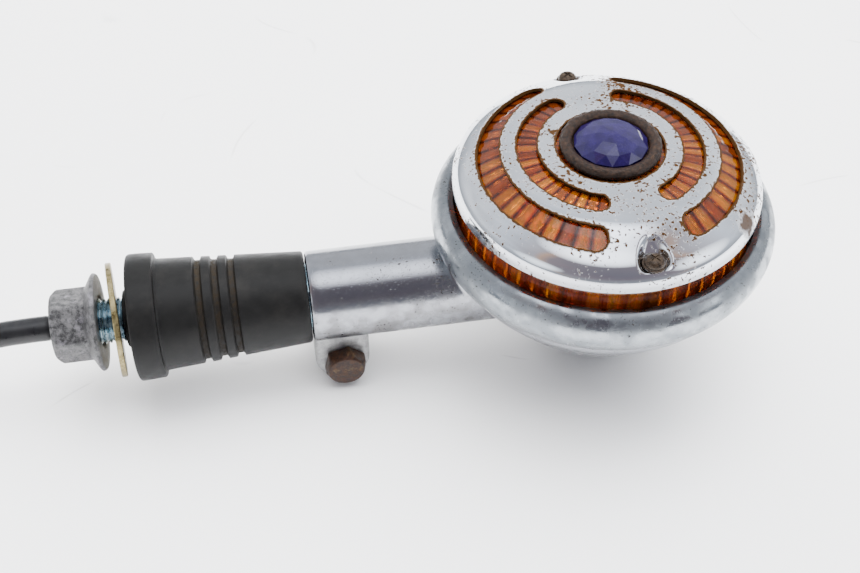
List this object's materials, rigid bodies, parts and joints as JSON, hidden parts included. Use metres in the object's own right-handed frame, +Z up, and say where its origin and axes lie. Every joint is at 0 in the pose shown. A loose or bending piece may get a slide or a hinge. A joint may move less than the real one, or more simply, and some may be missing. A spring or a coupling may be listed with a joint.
{
  "type": "motorcycle turn signal indicator",
  "caption": "Round chromed turn signal with a slotted cover over an amber lens, a blue jewel, a clamp arm, and a rubber stem on a hollow threaded stud with a cable.",
  "frame": {"origin": "on the table, under the middle of the lamp's own box without its cable", "axes": "+Z up along the lens axis, +X from the mounting stud towards the lamp, Y across the arm"},
  "size_m": [0.316, 0.128, 0.0699],
  "materials": {
    "cast_zinc": "aged chrome on a zinc casting, hazy and pitted",
    "bright_chrome": "aged bright chrome with small rust specks",
    "rusty_steel": "steel with an even brown rust",
    "zinc_steel": "dull zinc plate with white oxide",
    "yellow_zinc": "yellow passivated zinc plate",
    "brass": "satin brass",
    "stem_rubber": "moulded black rubber, brown dust in its grooves",
    "seal_rubber": "soft black rubber",
    "amber_lens": "clear amber plastic with ribs inside",
    "blue_jewel": "faceted blue glass",
    "clear_glass": "clear bulb glass",
    "bakelite": "brown moulded insulator",
    "cable_sheath": "smooth black cable sheath",
    "wire_brown": "brown wire insulation",
    "wire_green": "green wire insulation",
    "clear_sleeve": "cloudy clear connector sleeve"
  },
  "bodies": {
    "mount": {"stem_rubber_tip": "stem_rubber", "mount_stud": "zinc_steel", "cable_in_stem": "cable_sheath", "cable_free": "cable_sheath", "cable_coil": "cable_sheath", "coil_tie": "cable_sheath", "feed_lead": "wire_brown", "feed_sleeve": "clear_sleeve", "feed_bullet": "brass", "earth_lead": "wire_green", "earth_sleeve": "clear_sleeve", "earth_bullet": "brass"},
    "washer": {"flat_washer": "yellow_zinc"},
    "nut": {"flange_nut": "zinc_steel"},
    "stem_ring": {"stem_rubber_ring": "stem_rubber"},
    "stem_root": {"stem_rubber_root": "stem_rubber", "stem_sleeve": "zinc_steel", "cable_in_arm": "cable_sheath"},
    "lamp": {"housing": "cast_zinc", "rim_ring": "bright_chrome", "lens_gasket": "seal_rubber", "reflector": "bright_chrome", "bulb_socket": "yellow_zinc", "contact_spring": "zinc_steel", "clamp_nut": "zinc_steel", "feed_wire": "wire_brown", "earth_wire": "cable_sheath"},
    "clamp_screw": {"clamp_bolt": "rusty_steel"},
    "contact": {"contact_disc": "bakelite", "contact_button": "brass"},
    "bulb": {"bulb_base": "brass", "bulb_contact": "brass", "bulb_filament": "zinc_steel", "bulb_glass": "clear_glass"},
    "lens_unit": {"lens": "amber_lens", "grille_cover": "bright_chrome", "jewel_bezel": "rusty_steel", "jewel": "blue_jewel", "jewel_clip": "zinc_steel"},
    "screw_front": {"lens_screw_front": "rusty_steel"},
    "screw_rear": {"lens_screw_rear": "rusty_steel"}
  },
  "joints": [
    {"name": "washer_slide", "type": "slide", "parent": "mount", "child": "washer", "axis": [-1, 0, 0], "range_m": [0, 0.0012]},
    {"name": "nut_travel", "type": "slide", "parent": "mount", "child": "nut", "axis": [-1, 0, 0], "range_m": [-0.001, 0.009]},
    {"name": "stem_flex_lift", "type": "hinge", "parent": "mount", "child": "stem_ring", "pos_m": [-0.0561, 0, 0.024], "axis": [0, 1, 0], "range_deg": [-10, 10], "stiffness_Nm_per_rad": 14},
    {"name": "stem_flex_sway", "type": "hinge", "parent": "stem_ring", "child": "stem_root", "pos_m": [-0.0475, 0, 0.024], "axis": [0, 0, 1], "range_deg": [-10, 10], "stiffness_Nm_per_rad": 14},
    {"name": "lamp_aim", "type": "hinge", "parent": "stem_root", "child": "lamp", "pos_m": [-0.0183, 0, 0.024], "axis": [1, 0, 0], "range_deg": [-90, 90]},
    {"name": "clamp_bolt_turn", "type": "hinge", "parent": "lamp", "child": "clamp_screw", "pos_m": [-0.0206, 0, 0.0071], "axis": [0, 1, 0], "continuous": true},
    {"name": "contact_push", "type": "slide", "parent": "lamp", "child": "contact", "axis": [0, 0, 1], "range_m": [-0.003, 0], "stiffness_N_per_m": 2000, "springref_m": 0.002, "deforming": ["contact_spring"]},
    {"name": "bulb_twist", "type": "hinge", "parent": "contact", "child": "bulb", "pos_m": [0.0497, 0, 0.024], "axis": [0, 0, 1], "range_deg": [0, 20]},
    {"name": "lens_lift", "type": "slide", "parent": "lamp", "child": "lens_unit", "axis": [0, 0, 1], "range_m": [0, 0.05]},
    {"name": "screw_turn_front", "type": "hinge", "parent": "lens_unit", "child": "screw_front", "pos_m": [0.05155, -0.03535, 0.0415], "axis": [0, 0, 1], "continuous": true},
    {"name": "screw_turn_rear", "type": "hinge", "parent": "lens_unit", "child": "screw_rear", "pos_m": [0.04785, 0.03535, 0.0415], "axis": [0, 0, 1], "continuous": true}
  ]
}
